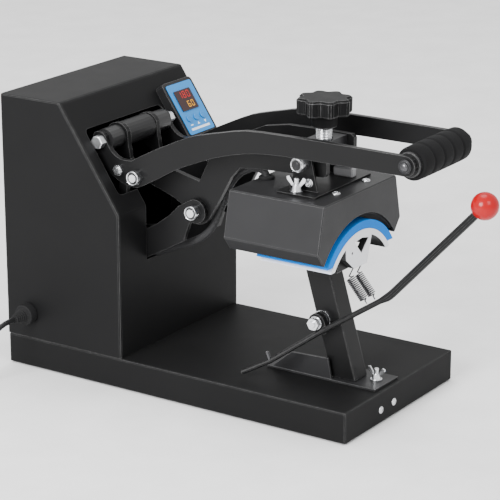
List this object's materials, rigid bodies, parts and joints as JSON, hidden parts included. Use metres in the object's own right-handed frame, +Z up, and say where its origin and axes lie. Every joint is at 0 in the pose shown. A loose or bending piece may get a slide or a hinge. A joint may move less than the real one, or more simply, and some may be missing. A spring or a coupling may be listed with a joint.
{
  "type": "cap heat press",
  "caption": "Small clamshell heat press with a curved heated head on a toggle handle, a curved lower platen on a leaning post, a sheet-metal housing and a tray base.",
  "frame": {"origin": "on the surface the press stands on, under the middle of its overall box without the power cord", "axes": "+Z up, -Y towards the operator and the handle, +X to the operator's right"},
  "size_m": [0.4365, 0.6718, 0.3447],
  "materials": {
    "black_sheet": "satin powder coat",
    "black_paint": "satin paint",
    "grey_paint": "satin powder coat",
    "zinc": "bright zinc plating",
    "dark_steel": "blackened steel",
    "silicone_blue": "matte silicone",
    "cast_aluminium": "as-cast, light",
    "heater_aluminium": "cast, heat-darkened",
    "black_rubber": "matte",
    "black_plastic": "satin",
    "red_plastic": "glossy",
    "label_blue": "printed film",
    "display": "dark window",
    "key_white": "membrane key",
    "cord_pvc": "soft PVC jacket",
    "sleeve": "braided sleeve"
  },
  "bodies": {
    "base": {"base_tray": "black_sheet", "rubber_foot_1": "black_rubber", "rubber_foot_2": "black_rubber", "rubber_foot_3": "black_rubber", "rubber_foot_4": "black_rubber", "housing_shell": "black_sheet", "rear_cover": "black_sheet", "frame_plate_left": "black_paint", "frame_plate_right": "black_paint", "link_pivot_shaft": "zinc", "arm_pivot_bolt_left": "zinc", "arm_pivot_bolt_right": "zinc", "controller_case": "black_plastic", "control_panel": "label_blue", "display_window": "display", "cable_gland": "black_plastic", "power_cord": "cord_pvc", "cord_coil": "cord_pvc", "power_plug": "black_plastic", "post_foot": "grey_paint", "post": "black_paint", "platen_bracket": "black_paint", "lower_platen": "cast_aluminium", "silicone_pad": "silicone_blue", "foot_wing_nut": "zinc", "lever_pivot_bolt": "zinc", "spring_left": "zinc", "spring_right": "zinc"},
    "head_arm": {"head_arm_left": "black_paint", "head_arm_right": "black_paint", "arm_crossbar": "dark_steel", "top_shaft": "zinc", "shaft_spacer": "black_plastic", "heater_cable": "sleeve"},
    "head": {"head_yoke": "black_paint", "tilt_shaft": "zinc", "heater_cover": "grey_paint", "heating_plate": "heater_aluminium", "wing_nut_left": "zinc", "wing_nut_right": "zinc", "cable_grommet": "black_rubber"},
    "knob": {"pressure_knob": "black_plastic", "pressure_screw": "zinc"},
    "handle": {"handle_arm_left": "black_paint", "handle_arm_right": "black_paint", "arm_bolt_left": "zinc", "arm_bolt_right": "zinc", "link_pin_left": "zinc", "link_pin_right": "zinc", "handle_rod": "zinc", "grip": "black_rubber"},
    "links": {"toggle_link_left": "black_paint", "toggle_link_right": "black_paint"},
    "lever": {"hold_down_lever": "black_paint", "lever_ball": "red_plastic"},
    "set_key": {"key_set": "key_white"},
    "up_key": {"key_up": "key_white"},
    "down_key": {"key_down": "key_white"}
  },
  "joints": [
    {"name": "head_hinge", "type": "hinge", "parent": "base", "child": "head_arm", "pos_m": [-0.027, 0.0664, 0.2045], "axis": [-1, 0, 0], "range_deg": [0, 20]},
    {"name": "handle_hinge", "type": "hinge", "parent": "head_arm", "child": "handle", "pos_m": [-0.027, 0.1744, 0.273], "axis": [-1, 0, 0], "range_deg": [0, 48.6]},
    {"name": "link_hinge", "type": "hinge", "parent": "base", "child": "links", "pos_m": [-0.027, 0.1564, 0.12], "axis": [-1, 0, 0], "range_deg": [0, 2.4]},
    {"name": "knob_turn", "type": "hinge", "parent": "head", "child": "knob", "pos_m": [-0.027, -0.0749, 0.3125], "axis": [0, 0, -1], "range_deg": [0, 600]},
    {"name": "head_slide", "type": "slide", "parent": "head_arm", "child": "head", "axis": [0, 0, -1], "range_m": [0, 0.00292]},
    {"name": "lever_hinge", "type": "hinge", "parent": "base", "child": "lever", "pos_m": [-0.047, -0.0816, 0.102], "axis": [1, 0, 0], "range_deg": [0, 25], "stiffness_Nm_per_rad": 3, "springref_deg": -20.05, "deforming": ["spring_left", "spring_right"]},
    {"name": "set_key_press", "type": "slide", "parent": "base", "child": "set_key", "axis": [0, 0.827, -0.5622], "range_m": [0, 0.0004], "stiffness_N_per_m": 800},
    {"name": "up_key_press", "type": "slide", "parent": "base", "child": "up_key", "axis": [0, 0.827, -0.5622], "range_m": [0, 0.0004], "stiffness_N_per_m": 800},
    {"name": "down_key_press", "type": "slide", "parent": "base", "child": "down_key", "axis": [0, 0.827, -0.5622], "range_m": [0, 0.0004], "stiffness_N_per_m": 800}
  ],
  "couplings": [
    {"joint": "handle_hinge", "follows": "head_hinge", "ratio": 2.43},
    {"joint": "link_hinge", "follows": "head_hinge", "ratio": 0.12},
    {"joint": "knob_turn", "follows": "head_slide", "rad_per_m": 3589}
  ]
}
